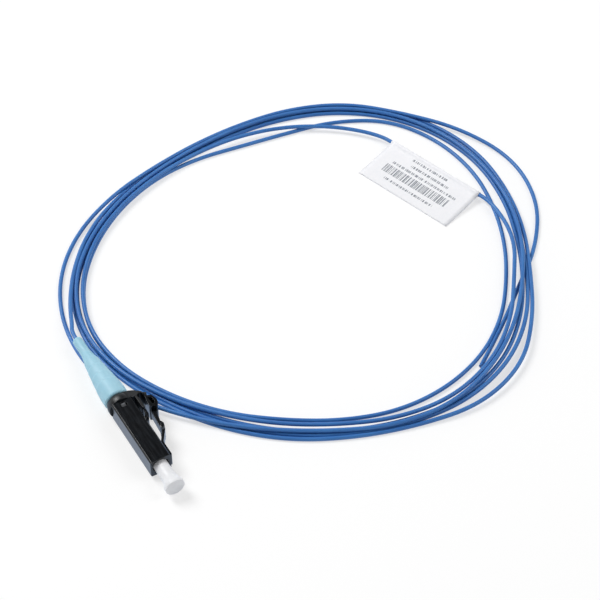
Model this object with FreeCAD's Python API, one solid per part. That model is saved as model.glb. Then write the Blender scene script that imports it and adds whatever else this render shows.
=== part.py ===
# Fibre optic pigtail, in millimetres: a small-form-factor plug with its dust cap on, and 2 m of 0.9 mm
# buffered fibre that lies in a loose coil and carries a folded paper flag.
# The plug lies on its side. It is drawn with X along the ferrule towards the front, Y towards the latch and
# Z up, the front face of its body at X 0 and the ferrule's axis at Y 0 and Z 0. The whole is then moved to
# stand on Z 0 with the middle of the plug, boot and cap at X 0 and Y 0.
import FreeCAD, Part
import os
from math import atan2, cos, pi, radians, sin, sqrt, tan

V = FreeCAD.Vector

# Plug body
BODY_W = 4.5            # side of the square body
BODY_L = 17.0           # front face to back face
BODY_BEVEL = 0.28       # bevel along the four long edges
MOUTH_D = 3.3           # round front opening that takes the adapter's sleeve
MOUTH_L = 3.4           # its depth, to the inner wall
SEAT_WALL = 0.8         # thickness of the inner wall, which the ferrule's flange rests on
CHAMBER_D = 3.3         # spring chamber behind the wall, open at the back
WINDOW_L = 1.3          # side windows that the backbone's tabs snap into, along the plug
WINDOW_W = 1.35         # and across it
WINDOW_BACK = 0.35      # wall left behind a window

# Latch lever: heights are measured up from the body's latch side
ROOT_AT = (-3.9, 0.12)  # middle of the rounded root that the lever bends about
ROOT_R = 0.3
PAD_H = 0.5             # raised pad that holds the root
PAD_W = 3.2
PAD_FRONT = 0.25        # from the front face
LEVER_T = 0.5           # thickness of the steep front blade
LEVER_FRONT_W = 2.6     # width of the front blade
LEVER_BACK_W = 2.2      # width of the thumb end
EAR_BACK = 8.2          # catching face of the ears, from the front face
EAR_L = 1.35
EAR_LOW = 1.5           # underside of the ears
EAR_HIGH = 2.5          # top of the ears
THUMB_LOW = 2.05        # underside of the thumb end
THUMB_HIGH = 3.05       # top of the thumb end

# Hook on the body that stops the lever
HOOK_AT = 5.9           # its foot, from the body's back
HOOK_FOOT_L = 0.84
HOOK_L = 1.78           # reach of its beak to the back
HOOK_H = 1.08

# Rear clip and its trigger
CLIP_L = 2.0            # collar, from the body's back to the boot
COLLAR_D = 5.5
STRIP_LOW = 0.62        # strip that points forward over the body
STRIP_T = 0.58
STRIP_L = 3.55          # from the clip's front wall
CLIP_OVER = 0.3         # the clip reaches this far forward over the body's end
KEYHOLE_R = 0.66        # round end of the slot between strip and trigger
HINGE_R = 0.26          # rounded root of the trigger
HORN_T = 0.2            # wall of the clip round that root
TRIGGER_H = 4.15        # top of the trigger
TRIGGER_L = 4.1         # from its hinge to its nose
TRIGGER_WEB = 0.7       # middle wall left between its two side pockets
TRIGGER_GAP = 0.45      # nose to lever, at rest

# Ferrule, its flange and the spring behind it
FERRULE_D = 1.25
FERRULE_L = 6.5
FERRULE_OUT = 1.9       # tip ahead of the front face
FERRULE_HOLE_D = 0.165
GLASS_D = 0.125
NOSE_WALL = 0.315       # of the flange's round nose, which stands in the hole of the inner wall
NOSE_OUT = 0.5          # the nose stands this far ahead of the inner wall
NOSE_GAP = 0.1          # round the nose, so that the ferrule floats
HEX_GAP = 0.114         # corners of the hexagon to the chamber
HEX_L = 2.2
HEX_BEVEL = 0.15
BARREL_WALL = 0.14      # round tail of the flange, inside the spring
BARREL_L = 2.0
GUIDE_BORE_GAP = 0.05   # guide tube to the fibre in it
GUIDE_WALL = 0.2
GUIDE_IN = 1.6          # depth in the barrel
GUIDE_OVER = 1.3        # the tube reaches this far into the backbone
SPRING_WIRE = 0.3
SPRING_GAP = 0.25       # turns to the chamber
SPRING_TURNS = 7
SPRING_SIDES = 5        # flat sides of the wire

# Backbone, crimp ring and boot
BACKBONE_IN = 4.3       # length inside the body
BACKBONE_HOLE_GAP = 0.1 # round the guide tube
TAIL_WALL = 0.4
TAIL_L = 3.0            # behind the clip
TAB_W = 0.9             # snap tabs that show in the windows
TAB_DOWN = 0.25         # their tops, below the body's surface
RING_WALL = 0.29        # crimp ring
RING_L = 4.3
RING_GAP = 0.3          # clip to crimp ring
BOOT_BASE_D = 5.5
BOOT_TIP_D = 2.15
BOOT_L = 18.9
BOOT_RIM_L = 2.2        # straight rim at the base
BOOT_SLEEVE_L = 4.3     # straight sleeve at the tip
BOOT_STEPS = 4          # shallow steps down the taper
BOOT_STEP_H = 0.1

# Dust cap
CAP_GAP = 0.15          # tube to mouth
CAP_IN = 2.2            # length inside the mouth
CAP_OUT = 6.2           # length outside
CAP_RIM_D = 4.15
CAP_RIM_L = 1.0
CAP_FLARE_L = 2.1

# Cord: a loose coil, spiralling in along the table, then out again on top of the first turns
CORD_D = 0.9
CORD_SIDES = 5          # flat sides of the free cord
LIFT = 0.03             # the lowest turns clear the table by this
CENTRE = (3.3, 54.2)    # middle of the ring, from the boot's tip
RING_R = 48.15          # mean radius of its middle line
OVAL = (1.9, -8)        # the ring is this much longer than round, and the angle of its long axis
LOBES = (1.8, 21)       # and a little three-cornered, with the angle of one corner
START = 3.5             # the ring's angle at the boot's tip, in degrees
END = 6.685             # the free end, in turns travelled
TURN_GAP = 0.55         # between two turns that lie side by side
LAYER_GAP = 0.48        # between the two layers
OUT = 1.85              # the first turn starts this far outside the ring's middle line
TURN_BACK = 3.92        # turns travelled where the spiral reverses
CLIMB = (246, 66)       # ring angles between which it climbs to the upper layer
LAST_IN = 4.3           # the last turn comes in by this much, under the pile
LAST_IN_AT = (182, 240) # ring angles between which it does
CROSS_AT = (186, 216, 246, 276)     # the pile over it starts to lift, is up, starts to sink and is down
CROSS_GAP = 0.75        # between that turn and the pile that lifts over it
JOINTS = 9              # joints of the path in each turn
FIRST_JOINT = 10        # ring angle of the first, in degrees
DIVE = (322, 340, 352)  # joints where the cord drops on the outside and passes under the boot
EXIT_RUN = 1.2          # straight run out of the boot
# Where the whole ring bulges: middle angle, half width in degrees, millimetres outward
BULGES = [(300, 80, 0.9), (75, 70, -0.6)]
# Where turns fan out of the pile: turn, middle angle, half width in degrees, millimetres outward
FANS = [(0, 250, 52, 3.4), (1, 250, 46, 1.6), (3, 96, 50, -2.5), (3, 215, 70, -1.5), (4, 152, 60, -6.9),
        (6, 26, 34, 0.8), (6, 180, 62, 3.7)]

# Paper flag, folded round one turn of the coil
LABEL_L = 25.4          # along the cord
LABEL_W = 12.2          # from the fold to the free edge
PAPER = 0.16            # one layer
LABEL_FROM = 146.5      # ring angles between which that turn runs straight
LABEL_TO = 183.5

# Clearances
FIT = 0.01              # round a part that is pressed or glued in
SLIDE = 0.02            # round a part that is pushed in by hand
RUN = 0.03              # round a hinge root

# Steps and widths that follow from what lies or fits together
PITCH = CORD_D + TURN_GAP
RISE = CORD_D + LAYER_GAP
CROSS_RISE = CORD_D + CROSS_GAP
GUIDE_D = CORD_D + 2 * (GUIDE_BORE_GAP + GUIDE_WALL)
BARREL_D = GUIDE_D + 2 * (FIT + BARREL_WALL)
NOSE_D = FERRULE_D + 2 * (FIT + NOSE_WALL)
HEX_CORNER_R = CHAMBER_D / 2 - HEX_GAP
SPRING_D = CHAMBER_D - 2 * SPRING_GAP
NECK_D = CHAMBER_D - 2 * RUN
BACKBONE_HOLE_D = GUIDE_D + 2 * BACKBONE_HOLE_GAP
TAIL_D = BACKBONE_HOLE_D + 2 * TAIL_WALL
RING_D = TAIL_D + 2 * (FIT + RING_WALL)
CAP_D = MOUTH_D - 2 * CAP_GAP

# Places that several parts share
TOP = BODY_W / 2                        # the body's latch side
BACK = -BODY_L
SEAT = -(MOUTH_L + SEAT_WALL)           # back of the inner wall
BARREL_END = SEAT - HEX_L - BARREL_L
NOSE_END = NOSE_OUT - MOUTH_L
FERRULE_END = FERRULE_OUT - FERRULE_L
BUFFER_END = FERRULE_END - 0.7          # where the buffer is stripped off the glass
BACKBONE_FRONT = BACK + BACKBONE_IN
CLIP_BACK = BACK - CLIP_L
TAIL_END = CLIP_BACK - TAIL_L
BOOT_TIP = CLIP_BACK - BOOT_L
CLIP_FRONT = BACK + CLIP_OVER           # the clip's wall above the body
HINGE_AT = (BACK + 0.7, 2.55)           # middle of the trigger's root, height above the latch side
KEYHOLE_AT = (BACK + 0.6, 1.7)
TRIGGER_NOSE = (HINGE_AT[0] + TRIGGER_L, TRIGGER_H - 0.74)
TRIGGER_CHIN = (TRIGGER_NOSE[0] - 0.73, 1.97)
AXIS_UP = max(BOOT_BASE_D, COLLAR_D) / 2    # height of the ferrule's axis above the table


def up(point):
    "A point given as place and height above the latch side, as a point of the plug's plan."
    return (point[0], TOP + point[1])


def outline(start, *steps):
    "Closed outline: a point draws a straight line, a pair of points an arc through the first to the second."
    edges = []
    here = start
    for step in steps + (start,):
        if isinstance(step[0], tuple):
            through, there = step
            edges.append(Part.Arc(V(*here, 0), V(*through, 0), V(*there, 0)).toShape())
        elif step != here:
            there = step
            edges.append(Part.LineSegment(V(*here, 0), V(*there, 0)).toShape())
        here = there
    return Part.Wire(edges)


def slab(shape_outline, width):
    "An outline in plan, made a block of that width about the ferrule's axis."
    face = Part.Face(shape_outline)
    face.translate(V(0, 0, -width / 2))
    return face.extrude(V(0, 0, width))


def upright(point, radius, width):
    "A round post across the plug, about a point of its plan."
    return Part.makeCylinder(radius, width, V(*point, -width / 2))


def turned(*profile):
    "A part turned about the ferrule's axis, from a closed profile of places and radii."
    return Part.Face(outline(*profile)).revolve(V(0, 0, 0), V(1, 0, 0), 360)


def rod(front, back, diameter):
    "A round rod along the ferrule's axis."
    return Part.makeCylinder(diameter / 2, front - back, V(back, 0, 0), V(1, 0, 0))


def both_sides(shape):
    "A shape and its mirror image under the axis."
    return shape.fuse(shape.mirror(V(0, 0, 0), V(0, 0, 1)))


def window():
    "One side window, round at its back edge, as the solid that is cut away."
    back = BACK + WINDOW_BACK
    half = WINDOW_W / 2
    plan = outline((back + WINDOW_L, -half), (back + WINDOW_L, half), (back + half, half),
                   ((back, 0), (back + half, -half)))
    return Part.Face(plan).extrude(V(0, 0, BODY_W))


def hook():
    "Small hook on the body, in line with the clip's strip, that stops the lever."
    foot = BACK + HOOK_AT
    beak = foot - HOOK_L
    low = TOP - 0.2
    return slab(outline((foot, low), (foot + HOOK_FOOT_L, low), up((foot + HOOK_FOOT_L / 2, 0.4)),
                        (up((foot, HOOK_H - 0.16)), up((foot - 0.6, HOOK_H - 0.06))),
                        up((beak + 0.18, HOOK_H)), up((beak, HOOK_H / 2)),
                        up((beak + 0.83, HOOK_H / 2 - 0.07)),
                        (up((foot - 0.4, 0.4)), up((foot - 0.16, 0.2)))), BODY_W)


def pad():
    "Raised pad on the latch side that the lever's root is held in."
    x = ROOT_AT[0]
    low = TOP - 0.2
    return slab(outline((x - 0.1, low), (-PAD_FRONT, low), up((-PAD_FRONT, PAD_H - 0.15)),
                        up((-PAD_FRONT - 0.2, PAD_H)), up((x - 0.1, PAD_H))), PAD_W)


def root_groove():
    "Groove for the lever's root, open to the back for the blade."
    x, height = ROOT_AT
    width = LEVER_FRONT_W + 2 * RUN
    groove = upright(up(ROOT_AT), ROOT_R + RUN, width)
    way = slab(outline(up((x - 0.8, 0)), up((x - 0.5, -0.1)), up((x, -0.1)), up((x + 0.12, PAD_H + 0.2)),
                       up((x - 0.8, PAD_H + 0.2))), width)
    return groove.fuse(way)


def plug_housing():
    "Moulded body: mouth, inner wall, spring chamber, windows, pad and hook."
    half = BODY_W / 2
    body = Part.makeBox(BODY_L, BODY_W, BODY_W, V(BACK, -half, -half))
    long_edges = [e for e in body.Edges if abs(e.Vertexes[0].X - e.Vertexes[1].X) > BODY_L / 2]
    body = body.makeChamfer(BODY_BEVEL, long_edges)
    body = body.fuse([pad(), hook()]).removeSplitter()
    hollow = rod(0, -MOUTH_L, MOUTH_D).fuse([rod(-MOUTH_L, SEAT, NOSE_D + 2 * NOSE_GAP),
                                             rod(SEAT, BACK, CHAMBER_D)])
    mouth_bevel = turned((-0.2, 0), (0, 0), (0, MOUTH_D / 2 + 0.2), (-0.2, MOUTH_D / 2))
    return body.cut([hollow, mouth_bevel, both_sides(window()), root_groove()])


def latch_lever():
    "Springy lever: steep blade from the root, two ears that catch, and a thumb end."
    x, height = ROOT_AT
    ear_back = -EAR_BACK
    ear_front = ear_back + EAR_L
    knee = (ear_front, EAR_LOW + 0.35)
    slope = atan2(knee[1] - height, x - knee[0])
    across = (LEVER_T / 2 * sin(slope), LEVER_T / 2 * cos(slope))
    root_low = up((x - across[0], height - across[1]))
    root_high = up((x + across[0], height + across[1]))
    # the thumb end is cut parallel to the trigger's front
    lean = (TRIGGER_NOSE[0] - TRIGGER_CHIN[0]) / (TRIGGER_NOSE[1] - TRIGGER_CHIN[1])
    end_low = TRIGGER_CHIN[0] + TRIGGER_GAP + lean * (THUMB_LOW - TRIGGER_CHIN[1])
    end_high = TRIGGER_CHIN[0] + TRIGGER_GAP + lean * (THUMB_HIGH - TRIGGER_CHIN[1])
    blade = slab(outline(root_low, root_high, up((ear_front + 0.3, EAR_HIGH - 0.35)),
                         up((ear_front - 0.3, EAR_HIGH)), up((ear_front - 0.6, EAR_LOW + 0.1)),
                         up((ear_front + 0.1, EAR_LOW))), LEVER_FRONT_W)
    root = upright(up(ROOT_AT), ROOT_R, LEVER_FRONT_W)
    ears = slab(outline(up((ear_back, EAR_LOW + 0.45)), up((ear_back + 0.35, EAR_HIGH + 0.05)),
                        up((ear_front - 0.1, EAR_HIGH - 0.15)), up((ear_front + 0.15, EAR_LOW + 0.05)),
                        up((ear_front - 0.35, EAR_LOW))), BODY_W)
    thumb = slab(outline(up((ear_front - 0.3, EAR_LOW + 0.2)), up((ear_front - 0.4, EAR_HIGH)),
                         up((ear_back - 0.35, EAR_HIGH + 0.4)),
                         (up((ear_back - 0.75, EAR_HIGH + 0.28)), up((ear_back - 1.15, EAR_HIGH + 0.06))),
                         up((end_high + 0.3, THUMB_HIGH - 0.15)), up((end_high, THUMB_HIGH)),
                         up((end_low, THUMB_LOW)), up((ear_back, EAR_LOW + 0.3))), LEVER_BACK_W)
    return blade.fuse([root, ears, thumb]).removeSplitter()


def rear_clip():
    "Collar behind the body with a rounded back, a block above it, a strip forward and the trigger's hinge."
    radius = COLLAR_D / 2
    wall = radius - NECK_D / 2
    collar = turned((BACK, 0), (BACK, radius), (CLIP_BACK + 0.5 * CLIP_L, radius),
                    (CLIP_BACK + 0.18 * CLIP_L, radius - 0.14 * wall), (CLIP_BACK, radius - 0.4 * wall),
                    (CLIP_BACK, 0))
    strip_end = CLIP_FRONT + STRIP_L
    strip_high = STRIP_LOW + STRIP_T
    round_end = STRIP_T / 2
    block = slab(outline((BACK, TOP / 4), (BACK, TOP), up((CLIP_FRONT, 0)), up((CLIP_FRONT, STRIP_LOW)),
                         up((strip_end - round_end, STRIP_LOW)),
                         (up((strip_end, STRIP_LOW + round_end)), up((strip_end - round_end, strip_high))),
                         up((CLIP_FRONT, strip_high)), up((CLIP_FRONT, HINGE_AT[1])),
                         up((BACK - 0.2, HINGE_AT[1] - 0.25)),
                         (up((CLIP_BACK + 0.82, 1.15)), (CLIP_BACK + 0.1, TOP / 4))), BODY_W)
    horn_r = HINGE_R + RUN + HORN_T
    horn = upright(up(HINGE_AT), horn_r, BODY_W)
    x, height = HINGE_AT
    # open front of the horn, wide enough for the trigger's web to swing down
    gate = slab(outline(up(HINGE_AT), up((x, height - 0.9)), up((x + 1.5, height - 0.9)),
                        up((x + 1.5, height + 0.9)), up((x + 0.25, height + 0.9))), BODY_W)
    hole = rod(BACK, CLIP_BACK, NECK_D + 2 * SLIDE)
    keyhole = upright(up(KEYHOLE_AT), KEYHOLE_R, BODY_W)
    socket = upright(up(HINGE_AT), HINGE_R + RUN, BODY_W)
    return collar.fuse([block, horn]).removeSplitter().cut([hole, keyhole, socket, gate])


def trigger_arm():
    "Trigger that keeps the lever from snagging: a block on a thin web, with a pocket in each side."
    x, height = HINGE_AT
    nose = TRIGGER_NOSE
    chin = TRIGGER_CHIN
    crown = (x + 0.6 * TRIGGER_L, TRIGGER_H)
    web = HINGE_R - 0.04
    arm = slab(outline(up((x, height - web)), up((x + 0.5, height - web)), up(chin), up(nose),
                       (up((nose[0] - 0.75, nose[1] + 0.52)), up(crown)), up((x + 0.97, TRIGGER_H - 0.42)),
                       up((x + 0.5, height + web)), up((x, height + web))), BODY_W)
    root = upright(up(HINGE_AT), HINGE_R, BODY_W)
    pocket_low = height + 0.15
    pocket = Part.Face(outline(up((x + 1.05, pocket_low)), up((chin[0] - 0.45, pocket_low + 0.1)),
                               up((nose[0] - 0.85, nose[1] - 0.28)), up((crown[0] + 0.2, TRIGGER_H - 0.6)),
                               up((x + 1.6, TRIGGER_H - 0.72))))
    pocket.translate(V(0, 0, TRIGGER_WEB / 2))
    return arm.fuse(root).removeSplitter().cut(both_sides(pocket.extrude(V(0, 0, BODY_W))))


def ferrule():
    "Ceramic ferrule with a rounded tip and a bevelled tail, drilled for the glass."
    r = FERRULE_D / 2
    hole = FERRULE_HOLE_D / 2
    return turned((FERRULE_END, hole), (FERRULE_OUT - 0.02, hole),
                  ((FERRULE_OUT - 0.03, r / 2), (FERRULE_OUT - 0.12, r - 0.1)),
                  (FERRULE_OUT - 0.3, r), (FERRULE_END + 0.15, r), (FERRULE_END, r - 0.1))


def ferrule_flange():
    "Metal flange on the ferrule: round nose, hexagon with bevelled corners, and a barrel for the guide tube."
    corner = HEX_CORNER_R
    six = [V(SEAT, corner * cos(radians(60 * k)), corner * sin(radians(60 * k))) for k in range(7)]
    hexagon = Part.Face(Part.makePolygon(six)).extrude(V(-HEX_L, 0, 0))
    bevel = HEX_BEVEL
    blank = turned((SEAT, 0), (SEAT, corner - bevel), (SEAT - bevel, corner), (SEAT - HEX_L + bevel, corner),
                   (SEAT - HEX_L, corner - bevel), (SEAT - HEX_L, 0))
    solid = hexagon.common(blank).fuse([rod(NOSE_END, SEAT, NOSE_D), rod(SEAT - HEX_L, BARREL_END, BARREL_D)])
    guide_front = BARREL_END + GUIDE_IN
    drilled = rod(NOSE_END, FERRULE_END, FERRULE_D + 2 * FIT).fuse(
        [rod(FERRULE_END, BUFFER_END, CORD_D / 2), rod(BUFFER_END, guide_front, CORD_D + 2 * SLIDE),
         rod(guide_front, BARREL_END, GUIDE_D + 2 * FIT)])
    return solid.cut(drilled)


def glass_fibre():
    "Bare glass, from the ferrule's tip to where the buffer starts."
    return rod(FERRULE_OUT - 0.02, BUFFER_END, GLASS_D)


def guide_tube():
    "Thin tube glued in the flange's barrel, that leads the buffered fibre through the spring."
    front = BARREL_END + GUIDE_IN
    back = BACKBONE_FRONT - GUIDE_OVER
    return rod(front, back, GUIDE_D).cut(rod(front, back, CORD_D + 2 * GUIDE_BORE_GAP))


def coil_spring():
    "Compression spring between the flange's hexagon and the backbone."
    front = SEAT - HEX_L - SPRING_WIRE / 2 - FIT
    length = front - (BACKBONE_FRONT + SPRING_WIRE / 2 + FIT)
    radius = (SPRING_D - SPRING_WIRE) / 2
    joints = []
    for half in range(2 * SPRING_TURNS + 1):
        angle = pi * half
        way = V(-length / (2 * pi * SPRING_TURNS), -radius * sin(angle), radius * cos(angle)).normalize()
        along = front - length * half / (2 * SPRING_TURNS)
        joints.append((V(along, radius * cos(angle), radius * sin(angle)), way))
    path, radii = arc_path(joints)
    return tube(path, *joints[0], SPRING_WIRE, SPRING_SIDES)


def backbone():
    "Rear insert: neck in the body and the clip, snap tabs in the windows, and a tail for the crimp ring."
    body = rod(BACKBONE_FRONT, CLIP_BACK, NECK_D).fuse(rod(CLIP_BACK, TAIL_END, TAIL_D))
    half = WINDOW_W / 2
    tab_back = BACK + WINDOW_BACK + half - sqrt(half ** 2 - (TAB_W / 2) ** 2) + 2 * SLIDE
    low = NECK_D / 2 - 0.3
    high = TOP - TAB_DOWN
    ramp = [V(tab_back, -TAB_W / 2, low), V(tab_back, -TAB_W / 2, high), V(tab_back + 0.25, -TAB_W / 2, high),
            V(tab_back + 1.1, -TAB_W / 2, low)]
    tab = Part.Face(Part.makePolygon(ramp + ramp[:1])).extrude(V(0, TAB_W, 0))
    return body.fuse(both_sides(tab)).removeSplitter().cut(
        rod(BACKBONE_FRONT, TAIL_END, BACKBONE_HOLE_D))


def crimp_ring():
    "Metal ring squeezed on the backbone's tail, stepped down over the buffered fibre."
    front = CLIP_BACK - RING_GAP
    back = front - RING_L
    step = TAIL_END - 0.2
    return turned((front, TAIL_D / 2 + FIT), (TAIL_END, TAIL_D / 2 + FIT), (step, CORD_D / 2 + SLIDE),
                  (back, CORD_D / 2 + SLIDE), (back, RING_D / 3), (back + 0.7, RING_D / 2 - 0.25),
                  (step - 0.1, RING_D / 2 - 0.25), (TAIL_END, RING_D / 2), (front, RING_D / 2))


def boot():
    "Tapered strain relief, stepped in shallow rings, hollow over the crimp ring."
    tip_r = BOOT_TIP_D / 2
    base_r = BOOT_BASE_D / 2
    taper_end = BOOT_TIP + BOOT_SLEEVE_L
    start = CLIP_BACK - BOOT_RIM_L
    profile = [(CLIP_BACK, CORD_D / 2 + SLIDE), (CLIP_BACK, base_r - 0.3), (CLIP_BACK - 0.35, base_r),
               (start, base_r)]
    for k in range(1, BOOT_STEPS + 1):
        left = 1 - k / (BOOT_STEPS + 1)
        x = taper_end + (start - taper_end) * left
        r = tip_r + (base_r - tip_r) * left ** 0.8
        profile += [(x + 0.12, r + BOOT_STEP_H), (x, r)]
    profile += [(taper_end, tip_r), (BOOT_TIP + 0.3, tip_r), (BOOT_TIP, tip_r - 0.2),
                (BOOT_TIP, CORD_D / 2 + SLIDE)]
    hollow_end = CLIP_BACK - RING_GAP - RING_L - 0.1
    return turned(*profile).cut(rod(CLIP_BACK, hollow_end, RING_D + 2 * SLIDE))


def dust_cap():
    "Cap on the ferrule: a plain tube with a flared, flat-ended rim, blind at the front."
    tube_r = CAP_D / 2
    rim_r = CAP_RIM_D / 2
    flare = CAP_OUT - CAP_RIM_L - CAP_FLARE_L
    hole = FERRULE_D / 2 + SLIDE
    return turned((-CAP_IN, hole), (FERRULE_OUT + 0.3, hole), (FERRULE_OUT + 0.9, 0), (CAP_OUT, 0),
                  (CAP_OUT, rim_r - 0.15), (CAP_OUT - 0.15, rim_r), (CAP_OUT - CAP_RIM_L, rim_r),
                  ((flare + 0.55 * CAP_FLARE_L, tube_r + 0.13 * CAP_FLARE_L), (flare, tube_r - 0.04)),
                  (-CAP_IN + 0.3, tube_r), (-CAP_IN, tube_r - 0.2))


def inner_fibre():
    "Buffered fibre inside the plug, from the flange to the boot's tip."
    return rod(BUFFER_END, BOOT_TIP, CORD_D)


def eased(value, low, high):
    "0 below low, 1 above high, and a smooth rise between them."
    share = min(max((value - low) / (high - low), 0.0), 1.0)
    return share * share * (3 - 2 * share)


def hump(away, width):
    "1 in the middle, and down to 0 a width away on each side."
    return 0.5 + 0.5 * cos(pi * min(abs(away) / width, 1))


def turns_at(angle, turn):
    "Turns travelled where the coil passes an angle for the nth time."
    return turn + (angle - START) / 360


def ring_radius(angle):
    "Radius of the ring's middle line, which is not quite round."
    radius = RING_R + OVAL[0] * cos(2 * radians(angle - OVAL[1]))
    radius += LOBES[0] * cos(3 * radians(angle - LOBES[1]))
    for middle, width, outward in BULGES:
        radius += outward * hump((angle - middle + 180) % 360 - 180, width)
    return radius


def spread(turns):
    "Distance of the cord outside the ring's middle line."
    half = 0.25
    early = TURN_BACK - half
    if turns < early:
        out = OUT - PITCH * turns
    elif turns > TURN_BACK + half:
        out = OUT + PITCH * (turns - 2 * TURN_BACK)
    else:
        share = (turns - early) / (2 * half)
        out = OUT - PITCH * early - PITCH * 2 * half * (share - share * share)
    outermost = OUT + PITCH * (7 - turns)
    leaving = eased(turns, turns_at(DIVE[0], 5), turns_at(363, 5))
    out = out * (1 - leaving) + outermost * leaving
    out -= LAST_IN * eased(turns, turns_at(LAST_IN_AT[0], 6), turns_at(LAST_IN_AT[1], 6))
    for turn, middle, width, outward in FANS:
        out += outward * hump((turns - turns_at(middle, turn)) * 360, width)
    return out


def lift(turns):
    "Height of the cord's middle line above the table."
    angle = (START + 360 * turns) % 360
    height = CORD_D / 2 + LIFT + RISE * eased(turns, turns_at(CLIMB[0], 3), turns_at(CLIMB[1], 4))
    height -= RISE * eased(turns, turns_at(DIVE[1], 5), turns_at(DIVE[2], 5))
    on_last = eased(angle, *CROSS_AT[:2]) * (1 - eased(angle, *CROSS_AT[2:]))
    inner_loop = turns_at(150, 3) < turns < turns_at(290, 3)    # passes inside the last turn
    if turns < turns_at(CROSS_AT[0], 6) - 0.02 and not inner_loop:
        height += CROSS_RISE * on_last
    return height


def coil_point(turns):
    "Point of the coil, from the boot's tip and up from the table."
    angle = START + 360 * turns
    radius = ring_radius(angle) + spread(turns)
    return V(CENTRE[0] - radius * sin(radians(angle)), CENTRE[1] - radius * cos(radians(angle)), lift(turns))


def coil_way(turns):
    "Direction of the coil there."
    step = 0.002
    return (coil_point(turns + step) - coil_point(turns - step)).normalize()


def label_run():
    "Ends of the straight run that the paper flag is folded round."
    return coil_point(turns_at(LABEL_FROM, 4)), coil_point(turns_at(LABEL_TO, 4))


def coil_joints():
    "Joints of the cord's path, each with the direction there."
    first = V(0, 0, AXIS_UP)
    back = V(-1, 0, 0)
    joints = [(first, back), (first + back * EXIT_RUN, back)]
    run = [turns_at(LABEL_FROM, 4), turns_at(LABEL_TO, 4)]
    dive = [turns_at(angle, 5) for angle in DIVE]
    places = [turns_at(360 / JOINTS * k + FIRST_JOINT, turn) for turn in range(7) for k in range(JOINTS)]
    apart = 0.6 / JOINTS
    places = [t for t in places if 0.06 < t < END - 0.03 and not run[0] - apart / 2 < t < run[1] + apart / 2
              and not dive[0] - apart / 2 < t < dive[-1] + apart / 2]
    joints += [(coil_point(turns), coil_way(turns)) for turns in sorted(places + dive) if turns < run[0]]
    ends = label_run()
    along = (ends[1] - ends[0]).normalize()
    joints += [(end, along) for end in ends]
    joints += [(coil_point(turns), coil_way(turns)) for turns in sorted(places + dive) if turns > run[1]]
    return joints + [(coil_point(END), coil_way(END))]


def arc_to(start, way, end):
    "Arc that leaves start along way and ends at end, with its radius; a straight line where it has none."
    chord = end - start
    along = V(chord).normalize()
    aside = way - along * way.dot(along)
    if aside.Length < 1e-7:
        return Part.LineSegment(start, end).toShape(), None
    half = atan2(aside.Length, way.dot(along))
    middle = start + chord * 0.5 + aside.normalize() * (chord.Length / 2 * tan(half / 2))
    return Part.Arc(start, middle, end).toShape(), chord.Length / (2 * sin(half))


def arc_path(joints):
    "Path through joints and their directions: two tangent arcs between each two, with the arcs' radii."
    edges = []
    radii = []
    for (p, way_p), (q, way_q) in zip(joints, joints[1:]):
        gap = q - p
        ways = way_p + way_q
        bend = 2 * (1 - way_p.dot(way_q))
        if bend < 1e-9:
            middle = p + gap * 0.5
        else:
            reach = gap.dot(ways)
            arm = (sqrt(reach * reach + bend * gap.dot(gap)) - reach) / bend
            middle = (p + way_p * arm + q - way_q * arm) * 0.5
        first, first_radius = arc_to(p, way_p, middle)
        last, last_radius = arc_to(q, way_q * -1, middle)
        edges += [first, last]
        radii += [r for r in (first_radius, last_radius) if r]
    return Part.Wire(Part.__sortEdges__(edges)), radii


def tube(path, start, way, diameter, sides):
    "Tube of a few flat sides along a path, from a point and the direction there."
    aside = way.cross(V(0, 1, 0)).normalize()
    upward = way.cross(aside)
    turns = [2 * pi * (k + 0.5) / sides for k in range(sides)]
    corners = [start + (aside * cos(turn) + upward * sin(turn)) * (diameter / 2) for turn in turns]
    pipe = Part.BRepOffsetAPI.MakePipeShell(Part.Wire(path.Edges))
    pipe.add(Part.makePolygon(corners + corners[:1]))
    pipe.build()
    pipe.makeSolid()
    return pipe.shape()


def least_gap(path):
    "Least gap between two stretches of the cord, on points half a millimetre apart."
    step = 0.5
    points = path.discretize(Distance=step)
    apart = int(8 / step)
    cells = {}
    least = None
    for k, p in enumerate(points):
        cell = (int(p.x // 3), int(p.y // 3))
        beside = [(cell[0] + dx, cell[1] + dy) for dx in (-1, 0, 1) for dy in (-1, 0, 1)]
        for j in (j for place in beside for j in cells.get(place, [])):
            if k - j > apart:
                away = p.distanceToPoint(points[j])
                least = away if least is None else min(least, away)
        cells.setdefault(cell, []).append(k)
    return least - CORD_D


def cord_coil():
    "The whole free cord, one unbroken tube, from the boot's tip to its bare end."
    path, radii = arc_path(coil_joints())
    cord = tube(path, V(0, 0, AXIS_UP), V(-1, 0, 0), CORD_D, CORD_SIDES)
    section = CORD_SIDES / 2 * (CORD_D / 2) ** 2 * sin(2 * pi / CORD_SIDES)
    print("cord length %.1f, least gap to itself %.2f" % (path.Length, least_gap(path)))
    print("least radius %.1f of" % min(radii), " ".join("%.0f" % r for r in radii))
    print("cord volume %.1f, section times length %.1f" % (cord.Volume, section * path.Length))
    cord.translate(V(BOOT_TIP, 0, -AXIS_UP))
    return cord


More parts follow.
